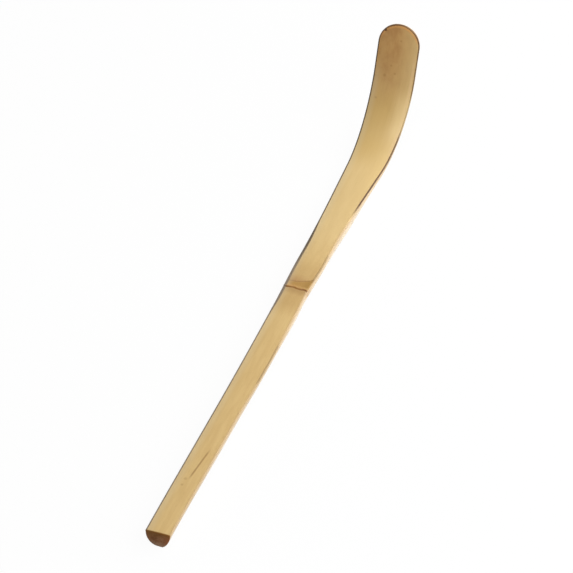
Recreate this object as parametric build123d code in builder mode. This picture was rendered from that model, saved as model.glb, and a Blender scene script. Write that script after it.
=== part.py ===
from build123d import *
import os
from math import asin, cos, degrees, pi, radians, sin, sqrt

# A bamboo scoop for powdered tea: one split strip, carved and then bent by heat.
# The strip lies on its belly with the cut end at -X, the round tip at +X and the bowl rising in +Z.
# The origin is on the surface that it lies on, below the middle of its box.

os.makedirs("parts", exist_ok=True)

# Distances along the top face, from the cut end
STRIP_LENGTH = 180.0
HOLD_DISTANCE = 40.0
GRIP_DISTANCE = 62.0
SCAR_DISTANCE = 88.0
NODE_DISTANCE = 90.5
NECK_END = 100.5
STEM_DISTANCE = 114.5
BEND_DISTANCE = 138.4
SCOOP_DISTANCE = 158.0
BOWL_DISTANCE = 165.0

# The neck's waist lies about the scar: how far before it the neck starts, and how far after it the neck is full
NECK_BEFORE_SCAR = 7.5
NECK_AFTER_SCAR = 10.0
NECK_START = SCAR_DISTANCE - NECK_BEFORE_SCAR
NECK_DISTANCE = SCAR_DISTANCE + NECK_AFTER_SCAR

# The line of the top face, seen from the side
NODE_TURN_RADIUS = 300.0
BEND_RADIUS = 22.6
BEND_ANGLE = 70.0

# Widths across the strip
HANDLE_WIDTH = 6.0
NECK_WIDTH = 6.7
BOWL_WIDTH = 11.25
SIDE_BOW = 0.35

# How much further the right side stands out than the left, with a waist at the scar
HOLD_SWELL = 0.12
GRIP_SWELL = 0.5
NECK_START_SWELL = 0.33
SCAR_SWELL = 0.06
NECK_SWELL = 0.3

# Depths from the top face down to the belly
HEEL_DEPTH = 4.6
BEND_DEPTH = 3.0
SCOOP_DEPTH = 1.45
TIP_DEPTH = 1.1
BELLY_HOLLOW = 0.6

# Widths of the knife-cut flat along the belly, on which the strip lies, and the turns of the rounds beside it
HEEL_FLAT = 1.0
BEND_FLAT = 7.0
HEEL_TURN = 90.0
BEND_TURN = 55.0

# Heights of the straight side walls
HEEL_SIDE = 0.4
HOLD_SIDE = 1.0
GRIP_SIDE = 0.55
SCAR_SIDE = 2.1
NECK_SIDE = 1.65
STEM_SIDE = 2.9
BEND_SIDE = 1.0
BOWL_SIDE = 0.35

# Skin, node and edges
CULM_RADIUS = 50.0
ARRIS = 0.2
SKIN_THICKNESS = 0.3
SCAR_LENGTH = 0.8
SCAR_RISE = 0.15
NODE_WOOD_BEFORE = 1.6
NODE_WOOD_AFTER = 4.0

# Drawing aids: the counts of sections before and after the bend, and how far a cutting shape stands clear
STEM_SECTION_COUNT = 35
BOWL_SECTION_COUNT = 13
CLEAR = 1.0

# The stem dips from the node so that the back of the bend lies on the same surface as the heel
STEM_DIP = degrees(asin((HEEL_DEPTH - BEND_DEPTH) / (BEND_DISTANCE - NODE_DISTANCE)))
HALF_TURN = NODE_TURN_RADIUS * radians(STEM_DIP) / 2
STEM_RUN = BEND_DISTANCE - NODE_DISTANCE - HALF_TURN
BEND_RUN = BEND_RADIUS * radians(STEM_DIP + BEND_ANGLE)
TIP_RUN = STRIP_LENGTH - BEND_DISTANCE - BEND_RUN

WIDTH_MARKS = [(NECK_START, HANDLE_WIDTH), (NECK_END, NECK_WIDTH), (BOWL_DISTANCE, BOWL_WIDTH)]
BOWL_DEPTH_MARKS = [(BEND_DISTANCE, BEND_DEPTH), (SCOOP_DISTANCE, SCOOP_DEPTH), (STRIP_LENGTH, TIP_DEPTH)]
FLAT_MARKS = [(NODE_DISTANCE, HEEL_FLAT), (BEND_DISTANCE, BEND_FLAT)]
TURN_MARKS = [(NODE_DISTANCE, HEEL_TURN), (BEND_DISTANCE, BEND_TURN)]
SWELL_MARKS = [
    (HOLD_DISTANCE, HOLD_SWELL),
    (GRIP_DISTANCE, GRIP_SWELL),
    (NECK_START, NECK_START_SWELL),
    (SCAR_DISTANCE, SCAR_SWELL),
    (NECK_DISTANCE, NECK_SWELL),
    (STEM_DISTANCE, 0),
]
SIDE_MARKS = [
    (0, HEEL_SIDE),
    (HOLD_DISTANCE, HOLD_SIDE),
    (GRIP_DISTANCE, GRIP_SIDE),
    (NECK_START, SCAR_SIDE),
    (SCAR_DISTANCE, SCAR_SIDE),
    (NECK_DISTANCE, NECK_SIDE),
    (STEM_DISTANCE, STEM_SIDE),
    (BEND_DISTANCE, BEND_SIDE),
    (SCOOP_DISTANCE, BOWL_SIDE),
]

# Top face seen from the side: level handle, slight turn at the node, stem, bend and straight tip
with BuildLine(Plane.XZ) as top_line:
    handle_run = Line((0, HEEL_DEPTH), (NODE_DISTANCE - HALF_TURN, HEEL_DEPTH))
    node_turn = JernArc(handle_run @ 1, handle_run % 1, NODE_TURN_RADIUS, -STEM_DIP)
    stem_run = Line(node_turn @ 1, node_turn @ 1 + (node_turn % 1) * STEM_RUN)
    bend = JernArc(stem_run @ 1, stem_run % 1, BEND_RADIUS, STEM_DIP + BEND_ANGLE)
    tip_run = Line(bend @ 1, bend @ 1 + (bend % 1) * TIP_RUN)

TOP_WIRE = top_line.wire()
REACH = (tip_run @ 1).X + TIP_DEPTH * sin(radians(BEND_ANGLE))


def straight(distance, marks):
    """Value at a distance along the strip, on straight lines from each (distance, value) mark to the next."""
    value = marks[0][1]
    for (start, low), (end, high) in zip(marks, marks[1:]):
        share = min(max((distance - start) / (end - start), 0), 1)
        value += (high - low) * share
    return value


def eased(distance, marks):
    """Value at a distance along the strip, eased from each (distance, value) mark to the next."""
    value = marks[0][1]
    for (start, low), (end, high) in zip(marks, marks[1:]):
        share = min(max((distance - start) / (end - start), 0), 1)
        value += (high - low) * share * share * (3 - 2 * share)
    return value


def crown_drop(offset):
    """How far the round of the culm falls at an offset from the middle of the strip."""
    return CULM_RADIUS - sqrt(CULM_RADIUS**2 - offset**2)


def half_widths(distance):
    """Half widths to the left and right: the right side swells and has a waist at the scar."""
    half = eased(distance, WIDTH_MARKS) / 2
    return half, half + eased(distance, SWELL_MARKS)


def depth_at(distance):
    """Depth of the strip: down to the surface it lies on as far as the bend, then pared away to the tip."""
    if distance > BEND_DISTANCE:
        return straight(distance, BOWL_DEPTH_MARKS)
    hollow = BELLY_HOLLOW * sin(pi * distance / BEND_DISTANCE)
    return TOP_WIRE.position_at(distance, PositionMode.LENGTH).Z - hollow


def section_plane(distance):
    """Plane square to the strip, with its X to the left, its Y up and its origin on the top face."""
    spot = TOP_WIRE.position_at(distance, PositionMode.LENGTH)
    run = TOP_WIRE.tangent_at(distance, PositionMode.LENGTH)
    bow = SIDE_BOW * sin(pi * min(distance / STEM_DISTANCE, 1)) ** 2
    return Plane(origin=(spot.X - REACH / 2, -bow, spot.Z), x_dir=(0, 1, 0), z_dir=run)


def strip_section(distance, rise=0.0):
    """Outline of the strip: crowned top, eased edges, straight sides and round belly with a flat."""
    left, right = half_widths(distance)
    left_drop = crown_drop(left) - rise
    right_drop = crown_drop(right) - rise
    side_foot = -crown_drop(left) - eased(distance, SIDE_MARKS)
    depth = depth_at(distance)
    flat = eased(distance, FLAT_MARKS) / 2
    turn = eased(distance, TURN_MARKS)
    belly = (depth + side_foot) / sin(radians(turn))
    inward = cos(radians(turn))
    left_centre = (flat - left * inward) / (1 - inward)
    right_centre = (flat - right * inward) / (1 - inward)
    with BuildSketch(section_plane(distance)) as outline:
        with BuildLine():
            ThreePointArc(
                (left - ARRIS, rise - crown_drop(left - ARRIS)),
                (0, rise),
                (ARRIS - right, rise - crown_drop(right - ARRIS)),
            )
            Line((ARRIS - right, rise - crown_drop(right - ARRIS)), (-right, -right_drop - ARRIS))
            Line((-right, -right_drop - ARRIS), (-right, side_foot))
            EllipticalCenterArc(
                (-right_centre, side_foot),
                right - right_centre,
                belly,
                start_angle=180,
                arc_size=turn,
            )
            Line((-flat, -depth), (flat, -depth))
            EllipticalCenterArc(
                (left_centre, side_foot),
                left - left_centre,
                belly,
                start_angle=360 - turn,
                arc_size=turn,
            )
            Line((left, side_foot), (left, -left_drop - ARRIS))
            Line((left, -left_drop - ARRIS), (left - ARRIS, rise - crown_drop(left - ARRIS)))
        make_face()
    return outline.sketch


def skin_section(distance):
    """Outline that holds the skin: everything above the line where the skin ends."""
    reach = max(half_widths(distance)) + CLEAR
    low = -SKIN_THICKNESS - crown_drop(reach)
    with BuildSketch(section_plane(distance)) as outline:
        with BuildLine():
            ThreePointArc((-reach, low), (0, -SKIN_THICKNESS), (reach, low))
            Polyline((reach, low), (reach, CLEAR), (-reach, CLEAR), (-reach, low))
        make_face()
    return outline.sketch


def spaced(start, end, count):
    """Distances of evenly spaced sections from start to end."""
    return [start + (end - start) * index / (count - 1) for index in range(count)]


STEM = spaced(0, BEND_DISTANCE, STEM_SECTION_COUNT)
BOWL = spaced(BEND_DISTANCE, STRIP_LENGTH, BOWL_SECTION_COUNT)

# The whole carved and bent strip before its tissues are told apart, with a crease across its back at the bend
with BuildPart() as blank:
    loft(sections=[strip_section(distance) for distance in STEM])
    loft(sections=[strip_section(distance) for distance in BOWL])
    tip_radius = BOWL_WIDTH / 2
    tip = section_plane(STRIP_LENGTH)
    with BuildSketch(Plane(origin=tip.origin, x_dir=tip.z_dir, z_dir=tip.y_dir)):
        with Locations((-tip_radius, 0)):
            Rectangle(tip_radius + CLEAR, BOWL_WIDTH + 2 * CLEAR, align=(Align.MIN, Align.CENTER))
            Circle(tip_radius, mode=Mode.SUBTRACT)
    extrude(amount=SCOOP_DEPTH + CLEAR, both=True, mode=Mode.SUBTRACT)

# The layer that the skin takes up along the whole strip
with BuildPart() as skin_zone:
    loft(sections=[skin_section(distance) for distance in STEM + BOWL[1:]])

# Woody flesh of the lower internode, from the cut end to the node
with BuildPart() as handle_wood:
    add(blank.part)
    add(skin_zone.part, mode=Mode.SUBTRACT)
    split(bisect_by=section_plane(SCAR_DISTANCE - NODE_WOOD_BEFORE), keep=Keep.BOTTOM)
handle_wood.part.label = "handle_wood"
export_step(handle_wood.part, "parts/handle_wood.step")

# Hard outer skin on top of the lower internode
with BuildPart() as handle_skin:
    add(blank.part)
    add(skin_zone.part, mode=Mode.INTERSECT)
    split(bisect_by=section_plane(SCAR_DISTANCE), keep=Keep.BOTTOM)
handle_skin.part.label = "handle_skin"
export_step(handle_skin.part, "parts/handle_skin.step")

# Dense wood of the node, where the cross wall of the culm grew
with BuildPart() as node_wood:
    add(blank.part)
    add(skin_zone.part, mode=Mode.SUBTRACT)
    split(bisect_by=section_plane(SCAR_DISTANCE - NODE_WOOD_BEFORE), keep=Keep.TOP)
    split(bisect_by=section_plane(SCAR_DISTANCE + NODE_WOOD_AFTER), keep=Keep.BOTTOM)
node_wood.part.label = "node_wood"
export_step(node_wood.part, "parts/node_wood.step")

# Raised scar of the culm sheath, across the top of the node
with BuildPart() as node_scar:
    scar_start = strip_section(SCAR_DISTANCE)
    scar_crest = strip_section(SCAR_DISTANCE + SCAR_LENGTH / 2, SCAR_RISE)
    scar_end = strip_section(SCAR_DISTANCE + SCAR_LENGTH)
    loft(sections=[scar_start, scar_crest, scar_end])
    add(skin_zone.part, mode=Mode.INTERSECT)
node_scar.part.label = "node_scar"
export_step(node_scar.part, "parts/node_scar.step")

# Woody flesh of the upper internode: stem, bend and bowl
with BuildPart() as bowl_wood:
    add(blank.part)
    add(skin_zone.part, mode=Mode.SUBTRACT)
    split(bisect_by=section_plane(SCAR_DISTANCE + NODE_WOOD_AFTER), keep=Keep.TOP)
bowl_wood.part.label = "bowl_wood"
export_step(bowl_wood.part, "parts/bowl_wood.step")

# Hard outer skin on top of the upper internode, out to the round tip
with BuildPart() as bowl_skin:
    add(blank.part)
    add(skin_zone.part, mode=Mode.INTERSECT)
    split(bisect_by=section_plane(SCAR_DISTANCE + SCAR_LENGTH), keep=Keep.TOP)
bowl_skin.part.label = "bowl_skin"
export_step(bowl_skin.part, "parts/bowl_skin.step")
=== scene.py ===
# %% [markdown]
# # A bamboo scoop for powdered tea
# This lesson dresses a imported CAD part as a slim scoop.
# The real one is carved from one split strip of bamboo and bent by heat.
# The CAD part is the fixed frame: it says where each tissue of the strip lies.
# The dressed pieces lie in the same places.
# Every piece is first made on a straight strip, where sizes are easy to think about, and then bent.

# %% The frame
from math import asin, cos, exp, hypot, pi, radians, sin, sqrt
from types import SimpleNamespace

import bmesh
import bpy
from mathutils import Color, Matrix, Vector


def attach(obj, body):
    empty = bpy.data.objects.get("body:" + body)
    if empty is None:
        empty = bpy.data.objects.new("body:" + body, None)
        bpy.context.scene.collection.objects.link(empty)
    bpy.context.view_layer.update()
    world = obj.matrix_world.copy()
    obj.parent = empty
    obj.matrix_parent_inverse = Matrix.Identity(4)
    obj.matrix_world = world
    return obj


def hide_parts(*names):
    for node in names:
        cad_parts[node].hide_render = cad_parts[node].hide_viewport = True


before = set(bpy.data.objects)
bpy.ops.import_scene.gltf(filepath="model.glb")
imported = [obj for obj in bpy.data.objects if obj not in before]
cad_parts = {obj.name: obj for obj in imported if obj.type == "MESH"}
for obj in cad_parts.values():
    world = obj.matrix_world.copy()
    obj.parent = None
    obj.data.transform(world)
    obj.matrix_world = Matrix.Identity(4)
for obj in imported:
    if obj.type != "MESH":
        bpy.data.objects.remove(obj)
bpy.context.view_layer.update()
MM_PER_M = 1000


# %% [markdown]
# ## Marks along the strip
# A carver marks a strip by distances from its cut end.
# So these are distances along the top face, in millimetres, and they are the CAD part's own.
# They could be read off the CAD mesh, but named marks are easier to follow and to change.
# Widths and depths are given at such marks. From one mark to the next a value is eased, or runs straight.

# %% Marks along the strip
HOLD = 40.0
GRIP = 62.0
NECK_START = 80.5
SCAR = 88.0
NODE = 90.5
NECK = 98.0
NECK_END = 100.5
STEM = 114.5
BEND = 138.4
SCOOP = 158.0
BOWL = 165.0
LENGTH = 180.0


def share_of(value, start, end):
    """How far a value has come from a start to an end, between 0 and 1."""
    return min(max((value - start) / (end - start), 0), 1)


def straight(distance, marks):
    """Value at a distance, on straight lines from mark to mark."""
    value = marks[0][1]
    for (start, low), (end, high) in zip(marks, marks[1:]):
        value += (high - low) * share_of(distance, start, end)
    return value


def eased(distance, marks):
    """Value at a distance, eased from mark to mark."""
    value = marks[0][1]
    for (start, low), (end, high) in zip(marks, marks[1:]):
        share = share_of(distance, start, end)
        value += (high - low) * share * share * (3 - 2 * share)
    return value


print("the node lies at", round(NODE / LENGTH, 3), "of the length")

# %% [markdown]
# ## The line of the top face
# Seen from the side, the top face is level along the handle.
# It dips a little after the node, and turns up in the bend.
# A Curve modifier could bend a straight strip to such a line.
# Here one function gives the place and slope at any distance, so that the arcs keep their exact radii,
# and the strip is bent by moving its points.

# %% The line that the strip is bent to
NODE_TURN_RADIUS = 300.0
BEND_RADIUS = 22.6
BEND_ANGLE = radians(70.0)
HEEL_DEPTH = 4.6
BEND_DEPTH = 3.0
TIP_DEPTH = 1.1
DIP = asin((HEEL_DEPTH - BEND_DEPTH) / (BEND - NODE))
HALF_TURN = NODE_TURN_RADIUS * DIP / 2


def top_line(distance):
    """Place along X, height and slope of the top face at a distance from the cut end."""
    turn_start = NODE - HALF_TURN
    if distance <= turn_start:
        return distance, HEEL_DEPTH, 0.0
    turned = min((distance - turn_start) / NODE_TURN_RADIUS, DIP)
    x = turn_start + NODE_TURN_RADIUS * sin(turned)
    z = HEEL_DEPTH - NODE_TURN_RADIUS * (1 - cos(turned))
    run = max(min(distance, BEND) - NODE - HALF_TURN, 0)
    x += run * cos(DIP)
    z -= run * sin(DIP)
    if distance <= BEND:
        return x, z, -turned
    slope = min((distance - BEND) / BEND_RADIUS, DIP + BEND_ANGLE) - DIP
    x += BEND_RADIUS * (sin(DIP) + sin(slope))
    z += BEND_RADIUS * (cos(DIP) - cos(slope))
    run = max(distance - BEND - BEND_RADIUS * (DIP + BEND_ANGLE), 0)
    return x + run * cos(slope), z + run * sin(slope), slope


REACH = top_line(LENGTH)[0] + TIP_DEPTH * sin(BEND_ANGLE)
print("reach from the cut end to the tip:", round(REACH, 3), "mm")

# %% [markdown]
# ## The section of the strip
# Across the strip, the top keeps the slight round of the culm it was split from.
# The right side is less even than the left: it swells along the grip and has a waist at the node.
# The outline could be drawn as a curve. Widths at marks are used instead, so that each side has its own.

# %% Widths and crown
CULM_RADIUS = 50.0
TIP_RADIUS = 5.625
TIP_START = LENGTH - TIP_RADIUS
WIDTHS = [(NECK_START, 6.0), (NECK_END, 6.7), (BOWL, 2 * TIP_RADIUS)]
SWELLS = [(HOLD, 0.12), (GRIP, 0.5), (NECK_START, 0.33), (SCAR, 0.06), (NECK, 0.3), (STEM, 0.0)]


def half_widths(distance):
    """Half widths of the strip to the left and to the right."""
    half = eased(distance, WIDTHS) / 2
    return half, half + eased(distance, SWELLS)


def crown_drop(across):
    """How far the round of the culm falls at an offset from the middle of the strip."""
    return CULM_RADIUS - sqrt(CULM_RADIUS**2 - across**2)


def rim_distance(distance, across):
    """How far a point lies inside the outline of the top face."""
    if distance > TIP_START:
        return TIP_RADIUS - hypot(distance - TIP_START, across)
    left, right = half_widths(distance)
    return min(left - across, right + across)


print("width at the cut end, node and bowl:", [round(sum(half_widths(mark)), 2) for mark in (0, NODE, BOWL)])

# %% [markdown]
# ### The belly
# The sides are straight walls, and below them the knife has rounded the belly.
# It has left a flat along the middle, which is widest at the bend, where the strip is thinner.
# There the rounds beside the flat turn by less than a right angle.
# Near the cut end the knife has taken the right of the belly flatter than the left.
# The keel, which is the lowest line of the belly, lies to the right there.
# A belly could be sculpted. A formula for its section needs few sizes, and it is smooth everywhere.

# %% Depth and belly
HEEL = 6.0
HEEL_END = 30.0
BELLY_HOLLOW = 0.6
BOWL_DEPTHS = [(BEND, BEND_DEPTH), (SCOOP, 1.45), (LENGTH, TIP_DEPTH)]
FLATS = [(NODE, 1.0), (BEND, 7.0)]
TURNS = [(NODE, radians(90.0)), (BEND, radians(55.0))]
KEEL = [(HEEL, -0.55), (HEEL_END, 0.0)]
LEFT_FULLNESS = [(HEEL, 0.2), (HEEL_END, 0.0)]
RIGHT_FULLNESS = [(HEEL, -0.4), (HEEL_END, 0.0)]
SIDES = [
    (0.0, 0.4),
    (HOLD, 1.0),
    (GRIP, 0.55),
    (NECK_START, 2.1),
    (SCAR, 2.1),
    (NECK, 1.65),
    (STEM, 2.9),
    (BEND, 1.0),
    (SCOOP, 0.4),
]


def depth_at(distance):
    """Depth of the strip below its top line."""
    if distance > BEND:
        return straight(distance, BOWL_DEPTHS)
    return top_line(distance)[1] - BELLY_HOLLOW * sin(pi * distance / BEND)


def belly(distance, across):
    """Height of the belly, measured from the crowned top."""
    left, right = half_widths(distance)
    keel = eased(distance, KEEL)
    half = left - keel if across > keel else right + keel
    foot = -crown_drop(left) - eased(distance, SIDES)
    depth = depth_at(distance)
    flat = eased(distance, FLATS) / 2
    turn = eased(distance, TURNS)
    centre = (flat - half * cos(turn)) / (1 - cos(turn))
    share = share_of(abs(across - keel), centre, half)
    power = 2 + eased(distance, LEFT_FULLNESS if across > keel else RIGHT_FULLNESS)
    height = foot - (depth + foot) / sin(turn) * (1 - share**power) ** (1 / power)
    return max(height, -depth) + crown_drop(across)


print("belly under the middle at the cut end:", round(belly(0, 0), 2), "mm")

# %% [markdown]
# ## Relief of the top face
# Two small forms break the top face: the scar of the culm sheath, a low wavy ridge across the node,
# and the lip of the tip, where the edge is pared thin so that it slides under the tea.
# They could be sculpted. Heights are used instead, so that the skin and the wood below share one lip.
# The wave of the scar is two sine waves of different pace, so that it doesn't look regular.

# %% Scar and lip
SCAR_LENGTH = 0.8
SCAR_RISE = 0.15
WAVE_PUSH = 0.09
WAVE_REACH = 2.5
WAVES = ((1.0, 2.1, 0.6), (0.35, 4.7, 0.0))
LIP_WIDTH = 0.75
LIP_DROP = 0.22
BACK_RISE = 0.35


def wave(distance, across):
    """How far the wavy scar pushes the skin along the strip."""
    near = exp(-(((distance - SCAR) / WAVE_REACH) ** 2))
    return near * WAVE_PUSH * sum(size * sin(pace * across + start) for size, pace, start in WAVES)


def scar_height(distance):
    """Height of the scar above the skin."""
    share = (distance - SCAR) / SCAR_LENGTH
    return SCAR_RISE * sin(pi * share) ** 2 if 0 < share < 1 else 0.0


def lip_drop(distance, across):
    """How far the top is pared down along the rim of the tip."""
    if distance <= TIP_START:
        return 0.0
    inside = share_of(rim_distance(distance, across), 0, LIP_WIDTH)
    ahead = (distance - TIP_START) / TIP_RADIUS
    return LIP_DROP * (1 - inside) ** 2 * ahead


def bowl_back(distance, across):
    """Height of the belly, pared up along the rim of the tip as well."""
    return belly(distance, across) + BACK_RISE / LIP_DROP * lip_drop(distance, across)


print("scar height at its crest:", scar_height(SCAR + SCAR_LENGTH / 2), "mm")

# %% [markdown]
# ## A slab of the strip
# Each tissue is a slab: an upper and a lower sheet that share one outline, with a wall between them.
# A grid, extruded once, is already such a slab. Its points only have to be moved to their places.
# In the wood the points crowd towards the sides, because the round belly needs them there.
# At the tip the square grid is eased into a half disc, so that the round end has no pole.

# %% Making a slab
SKIN = 0.3
WOOD_COLUMNS = 28
SKIN_COLUMNS = 20
WOOD_CROWDING = 1.25
SKIN_CROWDING = 0.1
TRIAL_ROWS = 4


def spot(row, across, start, end, rows, tip_rows):
    """Place along and across the strip of a grid point."""
    straight_rows = rows - tip_rows
    if row <= straight_rows:
        distance = start + ((TIP_START if tip_rows else end) - start) * row / straight_rows
        left, right = half_widths(distance)
        return distance, across * (left if across > 0 else right)
    ahead = (row - straight_rows) / tip_rows
    return (
        TIP_START + TIP_RADIUS * ahead * sqrt(1 - across * across / 2),
        TIP_RADIUS * across * sqrt(1 - ahead * ahead / 2),
    )


def slab(start, end, rows, upper, lower, tip_rows=0, skin=False):
    """A closed slab of the straight strip between two sheets, given by their heights."""
    crowding = SKIN_CROWDING if skin else WOOD_CROWDING
    bm = bmesh.new()
    bmesh.ops.create_grid(bm, x_segments=rows, y_segments=SKIN_COLUMNS if skin else WOOD_COLUMNS, size=1)
    below = bm.verts[:]
    raised = bmesh.ops.extrude_face_region(bm, geom=bm.faces[:])["geom"]
    above = [item for item in raised if isinstance(item, bmesh.types.BMVert)]
    for points, height in ((below, lower), (above, upper)):
        for point in points:
            row = round((point.co.x + 1) / 2 * rows)
            across = sin(point.co.y * crowding) / sin(crowding)
            distance, across = spot(row, across, start, end, rows, tip_rows)
            shift = wave(distance, across) if skin else 0.0
            point.co = (distance + shift, across, height(distance, across))
    bmesh.ops.recalc_face_normals(bm, faces=bm.faces[:])
    return bm


def skin_top(distance, across):
    """Height of the top of the skin, with the scar and the lip."""
    return scar_height(distance) - lip_drop(distance, across)


def skin_foot(distance, across):
    """Height of the seam between the skin and the wood below it."""
    return -SKIN - lip_drop(distance, across)


trial = slab(0, SCAR, TRIAL_ROWS, skin_top, skin_foot, skin=True)
print("a slab of", TRIAL_ROWS, "rows has", len(trial.verts), "points and", len(trial.faces), "faces")
trial.free()

# %% [markdown]
# ## Rounding the edges
# A knife leaves a clean edge, and sanding and handling take its sharpness off.
# Where a slab has a cut end, that is first made one flat face, so that the bevel runs evenly round it.
# A Bevel modifier could do this, but it would round the hidden seams as well.
# So edges are picked, by the angle between their faces and by where they lie on the strip.

# %% Picking and rounding edges
EASE = 0.22
EASE_SEGMENTS = 3
CRISP_ANGLE = radians(50.0)
NEAR = 1e-4


def cut_faces(bm):
    """Faces of the cut end."""
    return [face for face in bm.faces if all(abs(vert.co.x) < NEAR for vert in face.verts)]


def flatten_cut(bm):
    """Makes the cut end one flat face."""
    bmesh.ops.dissolve_faces(bm, faces=cut_faces(bm))


def round_the_cut(one, other):
    """Tells an edge of the cut end from the hidden seam between wood and skin."""
    on_cut = max(one.x, other.x) < NEAR
    return on_cut and max(abs(one.z + SKIN), abs(other.z + SKIN)) > NEAR


def on_the_rim(one, other):
    """Tells an edge of the top face that lies on the outline of the strip."""
    high = all(point.z > -SKIN / 2 - lip_drop(point.x, point.y) for point in (one, other))
    along = abs(one.x - other.x) > abs(one.y - other.y)
    return high and (along or one.x > TIP_START)


def on_cut_or_rim(one, other):
    """Tells an edge of either kind."""
    return round_the_cut(one, other) or on_the_rim(one, other)


def ease_edges(bm, wanted):
    """Rounds the edges that have a clear angle between their faces, and whose two ends are wanted."""
    crisp = [edge for edge in bm.edges if edge.is_manifold and edge.calc_face_angle() > CRISP_ANGLE]
    bmesh.ops.bevel(
        bm,
        geom=[edge for edge in crisp if wanted(*(vert.co for vert in edge.verts))],
        offset=EASE,
        offset_type="OFFSET",
        segments=EASE_SEGMENTS,
        profile=0.5,
        affect="EDGES",
        clamp_overlap=False,
        material=-1,
    )


print("edges are eased by", EASE, "mm")

# %% [markdown]
# ## Bending a slab into its place
# Before a slab is bent, each point keeps its place on the straight strip as an attribute, in millimetres,
# together with its distance from the outline. The finishes read these, so grain runs along the bent strip.
# Then the crown is laid over it and the points move to the line of the top face, in metres.
# From the cut end to the stem the strip also bows a little to the right.
# Faces are shaded smooth, apart from the cut end, which the saw left flat, and sharp edges stay sharp.

# %% Bending
SIDE_BOW = 0.35
SMOOTH_ANGLE = radians(32.0)


def add_object(name, data):
    """A new object in the scene."""
    made = bpy.data.objects.new(name, data)
    bpy.context.scene.collection.objects.link(made)
    return made


def mesh_object(name, bm):
    """A new object in the scene, made from a bmesh, which is used up."""
    mesh = bpy.data.meshes.new(name)
    bm.to_mesh(mesh)
    bm.free()
    return add_object(name, mesh)


def bend_into_place(bm, name, skin=False):
    """Makes the bent piece from a straight slab and hands it to the frame."""
    flat = cut_faces(bm)
    strip = bm.verts.layers.float_vector.new("strip")
    rim = bm.verts.layers.float.new("rim")
    for vert in bm.verts:
        distance, across, height = vert.co
        vert[strip] = vert.co - Vector((wave(distance, across) if skin else 0.0, 0, 0))
        vert[rim] = rim_distance(distance, across)
        x, z, slope = top_line(distance)
        height -= crown_drop(across)
        bow = SIDE_BOW * sin(pi * min(distance / STEM, 1)) ** 2
        place = Vector((x - height * sin(slope) - REACH / 2, across - bow, z + height * cos(slope)))
        vert.co = place / MM_PER_M
    for face in bm.faces:
        face.smooth = face not in flat
    for edge in bm.edges:
        edge.smooth = edge.is_manifold and edge.calc_face_angle() < SMOOTH_ANGLE
    piece = mesh_object(name, bm)
    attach(piece, "root")
    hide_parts(name)
    print(name, "has", len(piece.data.polygons), "faces")
    return piece


print("the bend lifts the tip to", round(top_line(LENGTH)[1], 2), "mm")

# %% [markdown]
# ## The wood of the handle
# The flesh of the lower internode is the deep, round-bellied bar that the fingers hold.
# It ends in the cut end, a flat face square to the strip with eased edges.
# It could be joined from sections. A slab from the seam down to the belly has the same form, in even rows.

# %% Wood of the handle
NODE_WOOD_START = SCAR - 1.6
HANDLE_ROWS = 112

bm = slab(0, NODE_WOOD_START, HANDLE_ROWS, skin_foot, belly)
flatten_cut(bm)
ease_edges(bm, round_the_cut)
handle_wood = bend_into_place(bm, "handle_wood")

# %% [markdown]
# ## The skin of the handle
# The hard outer skin of the culm is the flat top of the handle.
# It could be a sheet with a Solidify modifier. As a slab it shares its foot with the wood, so no gap shows.
# Its edges are eased along both sides and round the cut end, and it stops at the scar.

# %% Skin of the handle
bm = slab(0, SCAR, HANDLE_ROWS, skin_top, skin_foot, skin=True)
flatten_cut(bm)
ease_edges(bm, on_cut_or_rim)
handle_skin = bend_into_place(bm, "handle_skin", skin=True)

# %% [markdown]
# ## The node
# Where the cross wall of the culm grew, the wood is denser, and on top of it the sheath has left its scar.
# The scar could be painted alone, but a real ridge catches the light.
# So it is a slab of its own, a fraction of a millimetre proud and a little wavy.

# %% Wood and scar of the node
NODE_WOOD_END = SCAR + 4.0
SCAR_END = SCAR + SCAR_LENGTH
NODE_ROWS = 8

bm = slab(NODE_WOOD_START, NODE_WOOD_END, NODE_ROWS, skin_foot, belly)
node_wood = bend_into_place(bm, "node_wood")
bm = slab(SCAR, SCAR_END, NODE_ROWS, skin_top, skin_foot, skin=True)
ease_edges(bm, on_the_rim)
node_scar = bend_into_place(bm, "node_scar", skin=True)

# %% [markdown]
# ## The wood of the bowl
# The upper internode widens from the stem into the bowl and thins towards the tip.
# Its back is pared up along the rim of the tip, towards the lip.
# The round tip could be cut with a Boolean modifier. A grid that is eased into a half disc has even faces,
# which take the bend and the light smoothly.

# %% Wood of the bowl
BOWL_WOOD_ROWS = 124
TIP_ROWS = 14

bm = slab(NODE_WOOD_END, LENGTH, BOWL_WOOD_ROWS, skin_foot, bowl_back, tip_rows=TIP_ROWS)
bowl_wood = bend_into_place(bm, "bowl_wood")

# %% [markdown]
# ## The skin of the bowl
# The same skin lines the bowl, out to the pared lip. It is made as the skin of the handle is.
# Its edges are eased along both sides and round the tip.

# %% Skin of the bowl
BOWL_SKIN_ROWS = 128

bm = slab(SCAR_END, LENGTH, BOWL_SKIN_ROWS, skin_top, skin_foot, tip_rows=TIP_ROWS, skin=True)
ease_edges(bm, on_the_rim)
bowl_skin = bend_into_place(bm, "bowl_skin", skin=True)

# %% [markdown]
# ## Tools for the finishes
# A finish is a tree of nodes. It could be built by hand in the editor, but a script can be read and repeated.
# A few small helpers keep the trees readable.
# The first two turn a colour into what the shader needs, and add a node and feed its inputs.
# Colours are written as they look on the screen.

# %% Colours and nodes


def tone(code):
    """Shader colour of a screen colour, which is given as six hex digits."""
    screen = Color([int(code[place : place + 2], 16) / 255 for place in (0, 2, 4)])
    return (*screen.from_srgb_to_scene_linear(), 1.0)


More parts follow.
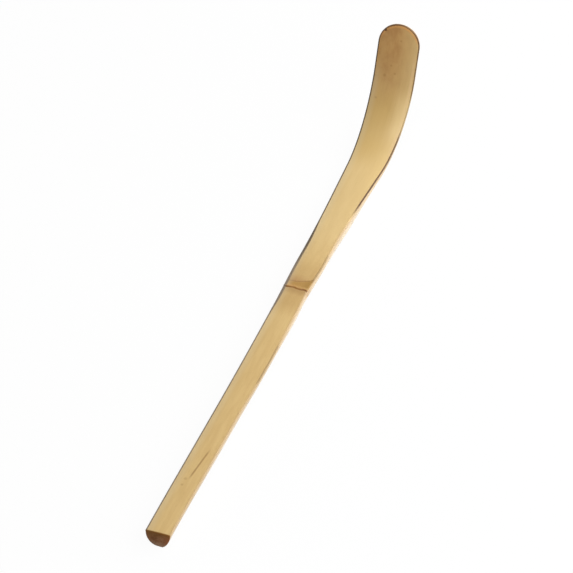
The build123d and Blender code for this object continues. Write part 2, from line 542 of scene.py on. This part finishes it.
def add_node(tree, kind, feeds, **settings):
    """Adds a node, sets it up, and feeds its inputs with plain values or with outputs of other nodes."""
    node = tree.nodes.new(kind)
    for name, value in settings.items():
        setattr(node, name, value)
    for place, feed in feeds.items():
        if isinstance(feed, bpy.types.NodeSocket):
            tree.links.new(feed, node.inputs[place])
        else:
            node.inputs[place].default_value = feed
    return node


print("a cream of F2DDB4 is", [round(part, 3) for part in tone("F2DDB4")])

# %% [markdown]
# ### Masks
# A mask is a value between 0 and 1 that says where a colour goes.
# Most masks here are soft steps of a distance. Masks are multiplied to keep what they share.
# Noise breaks up what would look too even, and it can be stretched along the strip as fibres are.

# %% Masks and paint
NOISE_ROUGHNESS = 0.55
# Sockets of the Mix node that are for colours
MIX_SHARE = 0
MIX_UNDER = 6
MIX_OVER = 7
MIX_RESULT = 2


def reckon(tree, operation, *values):
    """A value worked out from others."""
    return add_node(tree, "ShaderNodeMath", dict(enumerate(values)), operation=operation).outputs[0]


def times(tree, *masks):
    """Masks and plain shares, multiplied."""
    result = masks[0]
    for mask in masks[1:]:
        result = reckon(tree, "MULTIPLY", result, mask)
    return result


def outside(tree, mask):
    """The rest of the surface, which a mask leaves out."""
    return reckon(tree, "SUBTRACT", 1.0, mask)


def rise(tree, value, start, end):
    """A soft step from 0 at start to 1 at end."""
    feeds = {"Value": value, "From Min": start, "From Max": end}
    return add_node(tree, "ShaderNodeMapRange", feeds, interpolation_type="SMOOTHSTEP").outputs[0]


def paint(tree, under, over, share):
    """A colour laid over another by a share."""
    feeds = {MIX_SHARE: share, MIX_UNDER: under, MIX_OVER: over}
    return add_node(tree, "ShaderNodeMix", feeds, data_type="RGBA").outputs[MIX_RESULT]


def noise(tree, strip, along, across, detail):
    """Noise on the strip, with its own count of waves in each millimetre along and across."""
    stretch = {0: strip, 1: (along, across, across)}
    place = add_node(tree, "ShaderNodeVectorMath", stretch, operation="MULTIPLY").outputs[0]
    feeds = {"Vector": place, "Scale": 1.0, "Detail": detail, "Roughness": NOISE_ROUGHNESS}
    return add_node(tree, "ShaderNodeTexNoise", feeds).outputs[0]


trial = bpy.data.node_groups.new("trial", "ShaderNodeTree")
rise(trial, times(trial, 0.5, 0.5), 0.0, 1.0)
print("a soft step of a product takes", len(trial.nodes), "nodes")
bpy.data.node_groups.remove(trial)

# %% [markdown]
# ## Effects that the finishes share
# Three effects are node groups, because more than one finish uses them.
# The grain gives fine fibres that run the whole strip, soft clouds of tone, and short flecks.
# Each is noise stretched along the strip, read from the strip's own distances, and cut by a soft step.
# The thin line gives a mask where any value comes close to a centre.
# A scar or an edge can be drawn with it.
# The cut end gives a mask of the cut, with the fibre bundles seen from their ends and a cloudy shade.

# %% Grain of the bamboo
# Waves in each millimetre along and across, detail of the noise, and the soft step that cuts it
GRAIN = {
    "Fibre": ((0.05, 4.0, 3.0), (0.3, 0.7)),
    "Mottle": ((0.1, 0.7, 2.0), (0.3, 0.7)),
    "Fleck": ((0.4, 4.5, 1.0), (0.66, 0.76)),
}


def new_group(name, inputs, outputs):
    """An empty node group with named sockets, given back with its inlet and its outlet."""
    group = bpy.data.node_groups.new(name, "ShaderNodeTree")
    for title, kind in inputs.items():
        group.interface.new_socket(title, in_out="INPUT", socket_type=kind)
    for title in outputs:
        group.interface.new_socket(title, in_out="OUTPUT", socket_type="NodeSocketFloat")
    return group, group.nodes.new("NodeGroupInput").outputs, group.nodes.new("NodeGroupOutput").inputs


grain, inlet, outlet = new_group("Bamboo grain", {"Strip": "NodeSocketVector"}, GRAIN)
for title, (waves, step) in GRAIN.items():
    grain.links.new(rise(grain, noise(grain, inlet["Strip"], *waves), *step), outlet[title])
print("grain has", len(grain.nodes), "nodes")

# %% A thin line
LINE_INPUTS = ("Value", "Centre", "Half width", "Softness")
inputs = {title: "NodeSocketFloat" for title in LINE_INPUTS}
thin_line, inlet, outlet = new_group("Thin line", inputs, ["Mask"])
away = reckon(thin_line, "ABSOLUTE", reckon(thin_line, "SUBTRACT", inlet["Value"], inlet["Centre"]))
border = reckon(thin_line, "ADD", inlet["Half width"], inlet["Softness"])
thin_line.links.new(rise(thin_line, away, border, inlet["Half width"]), outlet["Mask"])


def line(tree, value, centre, half_width, softness):
    """Mask of a line in a finish, full within its half width and fading out over its softness."""
    feeds = dict(zip(LINE_INPUTS, (value, centre, half_width, softness)))
    return add_node(tree, "ShaderNodeGroup", feeds, node_tree=thin_line).outputs["Mask"]


print("thin line has", len(thin_line.nodes), "nodes")

# %% The cut end
CUT_DEPTH = 0.5
CUT_SKEW = 0.05
BUNDLES_PER_MM = 2.6
BUNDLE_STEP = (0.42, 0.16)
SHADE_WAVES = (0.6, 0.6, 3.0)
SHADE_STEP = (0.3, 0.7)

cut_end, inlet, outlet = new_group("Cut end", {"Strip": "NodeSocketVector"}, ["Mask", "Bundle", "Shade"])
strip = inlet["Strip"]
along, across, _ = add_node(cut_end, "ShaderNodeSeparateXYZ", {0: strip}).outputs
skewed = reckon(cut_end, "MULTIPLY_ADD", across, CUT_SKEW, along)
feeds = {"Vector": strip, "Scale": BUNDLES_PER_MM}
cells = add_node(cut_end, "ShaderNodeTexVoronoi", feeds).outputs["Distance"]
cut_end.links.new(rise(cut_end, skewed, CUT_DEPTH, CUT_DEPTH / 3), outlet["Mask"])
cut_end.links.new(rise(cut_end, cells, *BUNDLE_STEP), outlet["Bundle"])
cut_end.links.new(rise(cut_end, noise(cut_end, strip, *SHADE_WAVES), *SHADE_STEP), outlet["Shade"])
print("cut end has", len(cut_end.nodes), "nodes")

# %% [markdown]
# ## Starting and ending a finish
# Every finish starts in the same way: a Principled shader, the strip's distances, the shared effects,
# and a mottle of two tones. Other colours are then laid over the mottle one by one.
# Distances along, across and down are in millimetres, so a mark is painted where it was measured.
# Every finish also ends in the same way: the fibres make the surface a little uneven in gloss and in height,
# and the open pores of the cut end make it dull.
# How strongly a finish shines is one number for the whole piece.

# %% Starting a finish and laying colours
EFFECTS = {"grain": grain, "cut": cut_end}


def mottled(finish, light, deep):
    """Two tones in soft clouds."""
    return paint(finish.tree, light, deep, finish.grain["Mottle"])


def start_finish(name, light, deep):
    """A new mottled finish, with the strip's distances and the shared effects ready to use."""
    material = bpy.data.materials.new(name)
    material.use_nodes = True
    tree = material.node_tree
    strip = add_node(tree, "ShaderNodeAttribute", {}, attribute_name="strip").outputs["Vector"]
    along, across, down = add_node(tree, "ShaderNodeSeparateXYZ", {0: strip}).outputs
    finish = SimpleNamespace(material=material, tree=tree, strip=strip, along=along, across=across, down=down)
    finish.rim = add_node(tree, "ShaderNodeAttribute", {}, attribute_name="rim").outputs["Fac"]
    for title, group in EFFECTS.items():
        setattr(finish, title, add_node(tree, "ShaderNodeGroup", {"Strip": strip}, node_tree=group).outputs)
    finish.colour = mottled(finish, light, deep)
    return finish


def lay(finish, over, *masks, share=1.0):
    """Lays a colour over a finish by a share, where all the masks let it."""
    finish.colour = paint(finish.tree, finish.colour, over, times(finish.tree, *masks, share))


print("a finish starts with the effects", list(EFFECTS))

# %% Ending a finish
FIBRE_HEIGHT = 2e-5
PORE_ROUGHNESS = 0.9


def end_finish(finish, gloss, dull, relief, shine):
    """Joins colour, relief and a roughness between two values to the shader, and sets its shine."""
    tree = finish.tree
    feeds = {"Value": finish.grain["Fibre"], "To Min": gloss, "To Max": dull}
    rough = add_node(tree, "ShaderNodeMapRange", feeds).outputs[0]
    feeds = {"Value": finish.cut["Mask"], "To Min": rough, "To Max": PORE_ROUGHNESS}
    rough = add_node(tree, "ShaderNodeMapRange", feeds).outputs[0]
    feeds = {"Strength": relief, "Distance": FIBRE_HEIGHT, "Height": finish.grain["Fibre"]}
    normal = add_node(tree, "ShaderNodeBump", feeds).outputs[0]
    shader = tree.nodes["Principled BSDF"]
    shader.inputs["Specular IOR Level"].default_value = shine
    for title, output in {"Base Color": finish.colour, "Roughness": rough, "Normal": normal}.items():
        tree.links.new(output, shader.inputs[title])
    print(finish.material.name, "has", len(tree.nodes), "nodes")


print("fibres stand up to", round(FIBRE_HEIGHT * MM_PER_M, 3), "mm high")

# %% [markdown]
# ## The finish of the skin
# The skin of aged bamboo is golden tan and satin, with faint lengthwise fibres and clouds of deeper tone.
# It could be painted on an image. Masks made from the strip's distances stay sharp at any size instead,
# and each mark of this strip can be moved by changing a number.
# The bowl has been handled and warmed most, so it is browner and more mottled; its brown also carries painted
# shade, because the bowl turns up away from the light, most of all on its left.
# The stem before the bend is paler with a painted sheen, the bend is golden, and its right side has a painted
# cream sheen.

# %% Skin: grain and clouds
TAN = tone("D7B87D")
DEEP_TAN = tone("D0AF74")
FIBRE_BROWN = tone("BD985C")
FLECK_BROWN = tone("9F7A45")
STEM_SHEEN_CREAM = tone("E2C68D")
BOWL_BROWN = tone("C3975A")
DEEP_BOWL_BROWN = tone("B4834A")
BEND_GOLD = tone("CBA75E")
BEND_SHEEN_CREAM = tone("E6C88A")

skin = start_finish("Bamboo skin", TAN, DEEP_TAN)
tree = skin.tree
lay(skin, FIBRE_BROWN, skin.grain["Fibre"], share=0.12)
lay(skin, FLECK_BROWN, skin.grain["Fleck"], share=0.2)
# Painted sheen: the stem before the bend is made paler, as if light glances off it.
painted_stem_sheen = line(tree, skin.along, 128.0, 15.0, 16.0)
lay(skin, STEM_SHEEN_CREAM, painted_stem_sheen, share=0.5)
clouds = rise(tree, noise(tree, skin.strip, 0.2, 0.35, 3.0), 0.35, 0.7)
# Patina and painted shade: the bowl is browner, and more so on its left, which turns away from the light.
bowl_brown_and_shade = paint(tree, BOWL_BROWN, DEEP_BOWL_BROWN, clouds)
in_bowl = rise(tree, skin.along, 148.0, 174.0)
left_more = rise(tree, skin.across, -6.0, 1.0)
lay(skin, bowl_brown_and_shade, in_bowl, left_more, share=0.95)
golden_bend = line(tree, skin.along, 151.0, 4.0, 10.0)
lay(skin, BEND_GOLD, golden_bend, left_more, share=0.5)
# Painted sheen: the right side of the bend gets a pale cream where it catches the light.
painted_bend_sheen = line(tree, skin.along, 146.0, 9.0, 12.0)
far_right = rise(tree, skin.across, -1.5, -4.5)
lay(skin, BEND_SHEEN_CREAM, painted_bend_sheen, far_right, share=0.4)
print("skin starts with", len(tree.nodes), "nodes")

# %% [markdown]
# ### The node on the skin
# Near the scar the skin is a little browner, most of all just before it, where a soft shade is painted along
# the scar.
# Past it comes an orange band, then a golden olive band that ends at a wavy brown line; that band is painted
# shade, where the surface dips past the scar and turns away from the light.
# That line slants away from the scar towards the right, and past it the colour fades back.
# The slant is a small polynomial of the distance across, and noise makes it wander, so it doesn't look ruled.

# %% Skin: where the node lies
EDGE_PLACE = 90.8
EDGE_SLANT = -0.27
EDGE_CURVE = 0.085
EDGE_WANDER = 1.2

unevenness = reckon(tree, "SUBTRACT", noise(tree, skin.strip, 0.15, 1.1, 2.0), 0.5)
wander = times(tree, unevenness, EDGE_WANDER)
slant = reckon(tree, "MULTIPLY_ADD", skin.across, EDGE_CURVE, EDGE_SLANT)
edge = reckon(tree, "MULTIPLY_ADD", slant, skin.across, EDGE_PLACE)
past_edge = reckon(tree, "SUBTRACT", skin.along, reckon(tree, "ADD", edge, wander))
past_scar = rise(tree, skin.along, SCAR + 0.2, SCAR + 0.5)
print("the brown line crosses the middle about", round(EDGE_PLACE - SCAR, 2), "mm past the scar")

# %% Skin: the node
NODE_BROWN = tone("B08A50")
SCAR_SHADE = tone("A07A48")
DIP_SHADE_OLIVE = tone("AB8240")
DEEP_DIP_SHADE_OLIVE = tone("94702F")
BAND_ORANGE = tone("BE8E4C")
FADING_BROWN = tone("AC7F4E")
EDGE_BROWN = tone("805427")

near_scar = line(tree, skin.along, SCAR + 1.0, 6.0, 6.0)
lay(skin, NODE_BROWN, near_scar, share=0.36)
# Painted shade: a soft brown band just before the scar.
shade_before_scar = rise(tree, skin.along, SCAR - 2.4, SCAR - 0.6)
lay(skin, SCAR_SHADE, shade_before_scar, outside(tree, past_scar), share=0.5)
# Painted shade: the olive band stands for the shade of the dip past the scar, deeper towards the right.
painted_dip_shade = times(tree, rise(tree, skin.along, SCAR + 0.6, SCAR + 1.5), rise(tree, past_edge, 0.7, -0.7), 0.9)
lay(skin, DIP_SHADE_OLIVE, painted_dip_shade)
dip_shade_right = rise(tree, skin.across, -0.8, -2.8)
lay(skin, DEEP_DIP_SHADE_OLIVE, painted_dip_shade, dip_shade_right, share=0.4)
left_share = rise(tree, skin.across, -3.5, 2.0)
orange_band = line(tree, skin.along, SCAR + 1.0, 0.2, 0.6)
lay(skin, BAND_ORANGE, orange_band, past_scar, left_share, share=0.7)
fading = times(tree, rise(tree, past_edge, 3.4, 0.0), rise(tree, past_edge, -0.4, 0.3))
lay(skin, FADING_BROWN, fading, left_share, share=0.7)
brown_line = line(tree, past_edge, 0.0, 0.05, 0.3)
lay(skin, EDGE_BROWN, brown_line, share=0.45)
print("the node makes it", len(tree.nodes), "nodes")

# %% [markdown]
# ### Marks of use on the skin
# A slanting scratch lies near the cut end, with two specks beside it, and a few small specks lie in the bowl.
# The scratch is a thin line about a slanting centre, faded out at both ends.
# A speck is a dab: a mask of the distance from a point.
# Specks could come from noise, but there are so few that each is put in its own place.

# %% Skin: the scratch
SCRATCH = ((20.1, -0.37), (27.5, -1.07))
SCRATCH_BROWN = tone("9C7743")

(near, near_across), (far, far_across) = SCRATCH
lean = (far_across - near_across) / (far - near)
centre = reckon(tree, "MULTIPLY_ADD", skin.along, lean, near_across - lean * near)
beside = reckon(tree, "SUBTRACT", skin.across, centre)
scratch = line(tree, beside, 0.0, 0.1, 0.2)
faded_ends = line(tree, skin.along, (far + near) / 2, 3.2, 2.6)
lay(skin, SCRATCH_BROWN, scratch, faded_ends, share=0.75)
print("the scratch runs from", near, "to", far, "mm")

# %% Skin: specks
DAB_END = 1.4
DAB_FULL = 0.5
SPECK_TAN = tone("A57F48")
SPECK_BROWN = tone("84501E")
HANDLE_SPECKS = ((18.35, 0.55, 0.4), (16.27, 0.56, 0.35))
BOWL_SPECKS = (
    (165.5, 2.5, 0.4),
    (166.5, -0.2, 0.35),
    (168.5, 1.1, 0.3),
    (175.7, -0.6, 0.3),
    (159.2, 3.7, 0.3),
)


def dab(finish, along, across, size):
    """Mask of a round spot."""
    tree = finish.tree
    here = add_node(tree, "ShaderNodeCombineXYZ", {0: finish.along, 1: finish.across}).outputs[0]
    feeds = {0: here, 1: (along, across, 0)}
    gap = add_node(tree, "ShaderNodeVectorMath", feeds, operation="DISTANCE").outputs["Value"]
    return rise(tree, gap, DAB_END * size, DAB_FULL * size)


for speck in HANDLE_SPECKS:
    lay(skin, SPECK_TAN, dab(skin, *speck), share=0.4)
for speck in BOWL_SPECKS:
    lay(skin, SPECK_BROWN, dab(skin, *speck), share=0.24)
print("there are", len(HANDLE_SPECKS), "specks on the handle and", len(BOWL_SPECKS), "in the bowl")

# %% [markdown]
# ### Edges of the skin
# A dark line runs along the cut edge: partly a darker edge, partly painted shade where the rounded edge turns
# away from the light. It is grey all along the left.
# On the right it starts where the stem widens, where it is darkest, and follows the bowl round the tip.
# Along the right of the handle the edge is worn to a soft tan instead, with two darker stretches.
# All of these lie at a small distance from the outline, which is kept in the rim attribute.
# A mask of sharp edges could find them too, but with the distance each line has its own width.

# %% Skin: worn edges, painted shade and a painted highlight
WORN_TAN = tone("A88D68")
EDGE_SHADE = tone("7E6234")
LEFT_EDGE_HIGHLIGHT = tone("D4C29E")
SHADED_STRETCHES = ((60.8, 6.0, 2.0), (97.0, 4.5, 2.0))

on_left = rise(tree, skin.across, 0.0, 0.4)
on_right = rise(tree, skin.across, 0.0, -0.4)
worn_edge = rise(tree, skin.rim, 0.5, 0.15)
before_bowl = rise(tree, skin.along, 122.0, 112.0)
lay(skin, WORN_TAN, worn_edge, on_right, before_bowl, outside(tree, painted_dip_shade), share=0.5)
shaded_edge = rise(tree, skin.rim, 0.5, 0.24)
for stretch in SHADED_STRETCHES:
    lay(skin, EDGE_SHADE, shaded_edge, on_right, line(tree, skin.along, *stretch), share=0.5)
# Painted highlight: a pale band inside the left edge, where its upper part catches the light.
painted_left_highlight = rise(tree, skin.rim, 2.4, 0.6)
before_tip = rise(tree, skin.along, 170.0, 162.0)
lay(skin, LEFT_EDGE_HIGHLIGHT, painted_left_highlight, on_left, before_tip, share=0.34)
print("worn edges make it", len(tree.nodes), "nodes")

# %% Skin: the line along the left
EDGE_SHADE_GREY = tone("7A6E60")
DARK_EDGE_SHADE_GREY = tone("40342A")
WIDER_AT_NODE = 0.9

# Painted shade: the grey line on the left edge, which turns away from the light, is wider and darker past the
# node.
by_node = line(tree, skin.along, SCAR + 8.0, 10.0, 10.0)
widening = reckon(tree, "MULTIPLY_ADD", by_node, WIDER_AT_NODE, 1.0)
left_edge_shade = rise(tree, reckon(tree, "DIVIDE", skin.rim, widening), 0.48, 0.3)
left_edge_shade_tone = paint(tree, EDGE_SHADE_GREY, DARK_EDGE_SHADE_GREY, rise(tree, skin.along, 94.0, 106.0))
lay(skin, left_edge_shade_tone, left_edge_shade, on_left, share=0.92)
print("the left line makes it", len(tree.nodes), "nodes")

# %% [markdown]
# ### The right edge of the bowl and the lip
# In the bend the right edge catches the light: a painted sheen makes it pale, the dark line is painted
# fainter there, and a painted highlight runs as a light line inside it.
# The pared lip of the tip is orange brown with a dark rim, and has one blotch.
# At the cut end the skin is brown.

# %% Skin: the bend's right edge and the lip
INNER_HIGHLIGHT_CREAM = tone("E8C492")
EDGE_SHEEN_CREAM = tone("ECD098")
LIP_ORANGE = tone("D69C58")

# Painted highlight and sheen along the right edge of the bend, where it catches the light.
painted_inner_highlight = line(tree, skin.rim, 0.8, 0.15, 0.4)
by_inner_highlight = line(tree, skin.along, 158.0, 8.0, 10.0)
lay(skin, INNER_HIGHLIGHT_CREAM, painted_inner_highlight, on_right, by_inner_highlight, share=0.5)
painted_edge_sheen = rise(tree, skin.rim, 5.6, 0.4)
by_edge_sheen = line(tree, skin.along, 155.5, 2.5, 6.0)
lay(skin, EDGE_SHEEN_CREAM, painted_edge_sheen, on_right, by_edge_sheen, share=0.5)
lip = rise(tree, skin.rim, 0.95, 0.65)
at_tip = rise(tree, skin.along, 174.5, 177.5)
lay(skin, LIP_ORANGE, lip, at_tip, share=0.65)
print("the lip makes it", len(tree.nodes), "nodes")

# %% Skin: the line along the right
STEM_LINE_BROWN = tone("3E1600")
BOWL_LINE_BROWN = tone("4E2A0A")
THINNER_IN_BOWL = 0.25
GLINT_STRETCHES = (((156.0, 3.0, 4.0), 0.42), ((166.0, 4.0, 4.0), 0.1))

# Partly a browned edge, partly painted shade: the thin right edge of the bowl turns away from the light.
thinning = reckon(tree, "MULTIPLY_ADD", rise(tree, skin.along, 150.0, 160.0), THINNER_IN_BOWL, 1.0)
right_edge = rise(tree, times(tree, skin.rim, thinning), 0.4, 0.28)
past_stem = rise(tree, skin.along, 117.0, 125.0)
right_edge_brown_and_shade = times(tree, right_edge, on_right, past_stem, 0.92)
# Painted highlight: the line is made fainter where the edge catches a glint.
for stretch, glint_strength in GLINT_STRETCHES:
    glinted = times(tree, line(tree, skin.along, *stretch), glint_strength)
    right_edge_brown_and_shade = times(tree, right_edge_brown_and_shade, outside(tree, glinted))
short_of_tip = rise(tree, skin.along, 179.7, 176.0)
right_brown_and_shade_tone = paint(tree, STEM_LINE_BROWN, BOWL_LINE_BROWN, rise(tree, skin.along, 132.0, 138.0))
lay(skin, right_brown_and_shade_tone, right_edge_brown_and_shade, short_of_tip)
print("the right line makes it", len(tree.nodes), "nodes")

# %% Skin: the rim of the tip and the cut
RIM_BROWN = tone("53310F")
BLOTCH = (177.75, 4.0, 0.42)
BLOTCH_BROWN = tone("442710")
CUT_SKIN_BROWN = tone("7A4E1C")
SKIN_SURFACE = {"gloss": 0.4, "dull": 0.46, "relief": 0.12, "shine": 0.35}

# Partly a browned rim, partly painted shade: the outer part of the rounded rim turns away from the light.
dark_rim_and_shade = rise(tree, skin.rim, 0.38, 0.18)
lay(skin, RIM_BROWN, dark_rim_and_shade, at_tip, share=0.85)
lay(skin, BLOTCH_BROWN, dab(skin, *BLOTCH), share=0.85)
lay(skin, CUT_SKIN_BROWN, skin.cut["Mask"])
end_finish(skin, **SKIN_SURFACE)

# %% [markdown]
# ## The finish of the wood
# Under the skin the flesh is a paler and greyer tan, with clearer fibres than the skin.
# It gets paler with depth, is greyer towards the cut end, and is warmer where the belly was scraped.
# It uses the same grain as the skin, only stronger, so that both look split from one culm.

# %% Wood: flesh
FLESH = tone("D6BC96")
DEEP_FLESH = tone("CCB088")
GREY_FLESH = tone("CAB292")
DEEP_GREY_FLESH = tone("C0A884")
SCRAPED = tone("D4B88E")
DEEP_SCRAPED = tone("CAAC80")
PALE_DEPTHS = tone("E2D6C2")
FLESH_FIBRE = tone("AB9068")
FLESH_FLECK = tone("96774C")


def pale_with_depth(finish):
    """Makes the flesh paler, the further below the skin it lies."""
    lay(finish, PALE_DEPTHS, rise(finish.tree, finish.down, -0.5, -2.0), share=0.75)


def draw_fibres(finish):
    """Draws the fibres and flecks of the flesh."""
    lay(finish, FLESH_FIBRE, finish.grain["Fibre"], share=0.22)
    lay(finish, FLESH_FLECK, finish.grain["Fleck"], share=0.28)


wood = start_finish("Bamboo flesh", GREY_FLESH, DEEP_GREY_FLESH)
tree = wood.tree
past_grip = rise(tree, wood.along, 50.0, 80.0)
lay(wood, mottled(wood, FLESH, DEEP_FLESH), past_grip)
pale_with_depth(wood)
on_belly = rise(tree, wood.rim, 0.3, 1.6)
lay(wood, mottled(wood, SCRAPED, DEEP_SCRAPED), on_belly, share=0.8)
draw_fibres(wood)
print("flesh has", len(tree.nodes), "nodes")

# %% [markdown]
# ### The cut end of the wood
# At the cut end the same fibres are seen from their ends: a dark brown face with small lighter bundles.
# It is redder to the right, greyer towards the belly where a grey sheen is painted, and darkest under the
# skin on the left.
# The bundles could be modelled, but they are so small that a mask from the Voronoi texture is enough.

# %% Wood: the cut end
CUT_BROWN = tone("916645")
DEEP_CUT_BROWN = tone("764C2C")
BUNDLE_TAN = tone("B08A66")
CUT_RED = tone("9C5A34")
CUT_SHEEN_GREY = tone("A4856D")
CUT_OCHRE = tone("7A5018")
CUT_DARK = tone("6C4410")
WOOD_SURFACE = {"gloss": 0.5, "dull": 0.62, "relief": 0.4, "shine": 0.25}

to_right = rise(tree, wood.across, -0.8, -3.0)
# Painted sheen: the cut face is greyer towards the belly.
sheen_to_belly = rise(tree, wood.down, -2.4, -4.3)
to_skin = rise(tree, wood.down, -1.8, -0.4)
top_left = times(tree, rise(tree, wood.across, -2.0, 2.0), rise(tree, wood.down, -2.8, -0.8))
CUT_LAYERS = (
    (BUNDLE_TAN, wood.cut["Bundle"], 0.3),
    (CUT_RED, to_right, 0.6),
    (CUT_SHEEN_GREY, sheen_to_belly, 0.65),
    (CUT_OCHRE, to_skin, 0.5),
    (CUT_DARK, top_left, 0.5),
)
cut_tone = paint(tree, CUT_BROWN, DEEP_CUT_BROWN, wood.cut["Shade"])
for over, mask, share in CUT_LAYERS:
    cut_tone = paint(tree, cut_tone, over, times(tree, mask, share))
lay(wood, cut_tone, wood.cut["Mask"])
end_finish(wood, **WOOD_SURFACE)

# %% [markdown]
# ## The finish of the node
# The wood of the node is denser and a little deeper in tone than the flesh on either side.
# It fades into that flesh, so it is made with the same helpers, and no seam shows.
# The scar starts with a dark brown wavy line, darkest at its ends, and its crest is orange.

# %% Node wood
DENSE = tone("C6A67C")
DEEP_DENSE = tone("B8966A")

node = start_finish("Node wood", FLESH, DEEP_FLESH)
tree = node.tree
pale_with_depth(node)
dense_middle = line(tree, node.along, SCAR + 1.0, 0.6, 1.8)
lay(node, mottled(node, DENSE, DEEP_DENSE), dense_middle, share=0.6)
draw_fibres(node)
end_finish(node, **WOOD_SURFACE)

# %% Scar
SCAR_ORANGE = tone("BC8C48")
DEEP_SCAR_ORANGE = tone("B0803E")
SCAR_FIBRE = tone("A87940")
SCAR_BROWN = tone("6A4018")
SCAR_SURFACE = {"gloss": 0.42, "dull": 0.55, "relief": 0.3, "shine": 0.35}
LINE_AT_MIDDLE = 0.5
LINE_GAIN_AT_ENDS = 0.3

scar = start_finish("Sheath scar", SCAR_ORANGE, DEEP_SCAR_ORANGE)
tree = scar.tree
lay(scar, SCAR_FIBRE, scar.grain["Fibre"], share=0.3)
at_ends = rise(tree, reckon(tree, "ABSOLUTE", scar.across), 0.8, 2.8)
strength = reckon(tree, "MULTIPLY_ADD", at_ends, LINE_GAIN_AT_ENDS, LINE_AT_MIDDLE)
dark_line = line(tree, scar.along, SCAR + 0.16, 0.15, 0.25)
lay(scar, SCAR_BROWN, dark_line, strength)
# Painted shade: the same grey line runs along the left edge of the scar.
scar_left = rise(tree, scar.across, 0.0, 0.4)
scar_edge_shade = rise(tree, scar.rim, 0.9, 0.4)
lay(scar, EDGE_SHADE_GREY, scar_edge_shade, scar_left, share=0.9)
end_finish(scar, **SCAR_SURFACE)

# %% [markdown]
# ## Dressing the pieces
# Each piece gets the finish of its tissue. The two woods share one finish, and so do the two skins.

# %% Finishes on the pieces
DRESS = (
    (handle_wood, wood),
    (bowl_wood, wood),
    (handle_skin, skin),
    (bowl_skin, skin),
    (node_wood, node),
    (node_scar, scar),
)
for piece, finish in DRESS:
    piece.data.materials.append(finish.material)
    print(piece.name, "is finished as", finish.material.name)

# %% [markdown]
# ## Paper to lie on
# The scoop lies on white paper. Paper could be lit until it is pure white, but the scoop would be too bright.
# So where the paper itself is seen, it is almost its own light, which lets only a faint shadow show.
# To the scoop it is plain white paper that throws light back up.

# %% Sheet of paper
PAPER_HALF_WIDTH = 1.5
PAPER_DROP = 0.0002

bm = bmesh.new()
bmesh.ops.create_grid(bm, x_segments=1, y_segments=1, size=PAPER_HALF_WIDTH)
paper = mesh_object("paper", bm)
paper.location.z = -PAPER_DROP
print("the paper is", 2 * PAPER_HALF_WIDTH, "m wide")

# %% White of the paper
PAPER_WHITE = (0.95, 0.95, 0.95, 1.0)
PAPER_ROUGHNESS = 0.9
PAPER_SHINE = 0.0
PAPER_GLOW = 0.95


def seen_ray(tree):
    """1 for rays that show a thing itself: to the camera, in a reflection or through glass."""
    path = add_node(tree, "ShaderNodeLightPath", {}).outputs
    mirrored = reckon(tree, "MAXIMUM", path["Is Glossy Ray"], path["Is Transmission Ray"])
    return reckon(tree, "MAXIMUM", path["Is Camera Ray"], mirrored)


white = bpy.data.materials.new("White paper")
white.use_nodes = True
tree = white.node_tree
shader = tree.nodes["Principled BSDF"]
shader.inputs["Base Color"].default_value = PAPER_WHITE
shader.inputs["Roughness"].default_value = PAPER_ROUGHNESS
shader.inputs["Specular IOR Level"].default_value = PAPER_SHINE
glow = add_node(tree, "ShaderNodeEmission", {"Strength": 1.0}).outputs[0]
share = times(tree, seen_ray(tree), PAPER_GLOW)
mixed = add_node(tree, "ShaderNodeMixShader", {0: share, 1: shader.outputs[0], 2: glow}).outputs[0]
tree.links.new(mixed, tree.nodes["Material Output"].inputs["Surface"])
paper.data.materials.append(white)
print("the paper glows by", PAPER_GLOW)

# %% [markdown]
# ## Studio light
# The light is soft and comes mostly from the right and above, so the right wall is bright,
# and the bowl, which is turned up towards the cut end, lies in gentle shade.
# A smaller lamp overhead gives the bend its sheen.
# A picture of a studio could light the scoop too, but lamps are easier to move and to weigh up.
# The world is white where it is seen, and a moderate grey fill for everything else.

# %% Lamps
LAMPS = (
    ("right lamp", (0.13, -0.33, 0.24), 0.62, 3.1),
    ("overhead lamp", (-0.12, -0.04, 0.93), 0.26, 1.5),
)
for name, place, size, watts in LAMPS:
    lamp_data = bpy.data.lights.new(name, "AREA")
    lamp_data.size = size
    lamp_data.energy = watts
    lamp = add_object(name, lamp_data)
    lamp.location = place
    lamp.rotation_euler = Vector(place).to_track_quat("Z", "Y").to_euler()
    print(name, "has", watts, "watts")

# %% World
WHITE = (1.0, 1.0, 1.0, 1.0)
FILL = 0.25

world = bpy.data.worlds.new("studio")
world.use_nodes = True
bpy.context.scene.world = world
tree = world.node_tree
fill = tree.nodes["Background"]
fill.inputs["Color"].default_value = WHITE
fill.inputs["Strength"].default_value = FILL
backdrop = add_node(tree, "ShaderNodeBackground", {"Color": WHITE, "Strength": 1.0})
feeds = {0: seen_ray(tree), 1: fill.outputs[0], 2: backdrop.outputs[0]}
mixed = add_node(tree, "ShaderNodeMixShader", feeds).outputs[0]
tree.links.new(mixed, tree.nodes["World Output"].inputs["Surface"])
print("the world fills by", FILL)

# %% [markdown]
# ## The camera
# The camera looks along the strip from the cut end, from well above and a little from the right.
# Its directions to the right and up were fitted to the outline of the scoop.
# A long lens from far off keeps the near end from looking larger than it is.

# %% Camera
RIGHTWARDS = Vector((0.36104237, -0.93254941, 0.0))
UPWARDS = Vector((0.64152024, 0.24836859, 0.72578566))
STAND = Vector((-0.56982, -0.22053, 0.588831))
SENSOR_WIDTH = 36.0
LENS = 214.75

camera_data = bpy.data.cameras.new("camera")
camera_data.sensor_width = SENSOR_WIDTH
camera_data.lens = LENS
camera = add_object("camera", camera_data)
turn = Matrix((RIGHTWARDS, UPWARDS, RIGHTWARDS.cross(UPWARDS))).transposed().to_4x4()
camera.matrix_world = Matrix.Translation(STAND) @ turn
bpy.context.scene.camera = camera
bpy.context.scene.view_settings.view_transform = "Standard"
print("the camera stands", round(STAND.length, 3), "m from the middle of the scoop")
